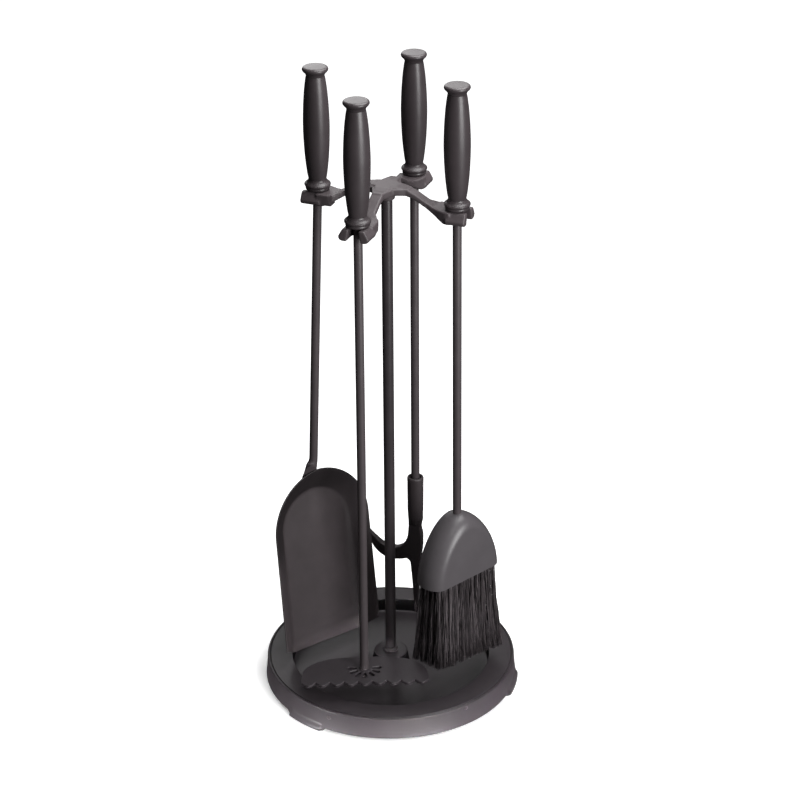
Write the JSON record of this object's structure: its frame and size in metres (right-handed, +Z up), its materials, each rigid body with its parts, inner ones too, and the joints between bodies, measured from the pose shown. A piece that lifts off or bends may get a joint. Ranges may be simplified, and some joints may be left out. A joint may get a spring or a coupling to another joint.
{
  "type": "fireplace tool set",
  "caption": "Fireplace tool set: round dished cast base on low feet, slim post and cross-shaped forked crown that holds a shovel, ash rake, hooked poker and brush.",
  "frame": {"origin": "centre of the base on the floor, below the post", "axes": "+Z up along the post; the crown's arms run along +X (brush), +Y (poker), -X (shovel) and -Y (rake)"},
  "size_m": [0.2857, 0.2828, 0.7115],
  "materials": {
    "casting": "satin dark brown-grey paint over a slightly rough casting",
    "rod": "satin dark brown-grey paint on steel rod",
    "handle": "satin dark brown-grey paint, smooth",
    "sheet": "satin dark brown-grey paint on pressed sheet steel",
    "fixing": "plain steel",
    "moulding": "matte dark moulding",
    "bristle": "stiff black fibre"
  },
  "bodies": {
    "stand": {"base_casting": "casting", "base_washer": "fixing", "base_nut": "fixing", "post": "rod", "post_foot_bush": "rod", "crown": "casting"},
    "shovel": {"shovel_collar": "handle", "shovel_grip": "handle", "shovel_cap": "handle", "shovel_stud": "rod", "shovel_shaft": "rod", "shovel_pan": "sheet"},
    "rake": {"rake_collar": "handle", "rake_grip": "handle", "rake_cap": "handle", "rake_shaft": "rod", "rake_nut": "fixing", "rake_blade": "casting"},
    "poker": {"poker_collar": "handle", "poker_grip": "handle", "poker_cap": "handle", "poker_shaft": "rod", "poker_head": "casting"},
    "brush": {"brush_collar": "handle", "brush_grip": "handle", "brush_cap": "handle", "brush_shaft": "rod", "brush_head": "moulding", "brush_block": "moulding", "brush_bristles": "bristle"}
  },
  "joints": [
    {"name": "shovel_lift_off", "type": "slide", "parent": "stand", "child": "shovel", "axis": [-0.7071, 0, 0.7071], "range_m": [0, 0.25]},
    {"name": "rake_lift_off", "type": "slide", "parent": "stand", "child": "rake", "axis": [0, -0.7071, 0.7071], "range_m": [0, 0.25]},
    {"name": "poker_lift_off", "type": "slide", "parent": "stand", "child": "poker", "axis": [0, 0.7071, 0.7071], "range_m": [0, 0.25]},
    {"name": "brush_lift_off", "type": "slide", "parent": "stand", "child": "brush", "axis": [0.7071, 0, 0.7071], "range_m": [0, 0.25]}
  ]
}
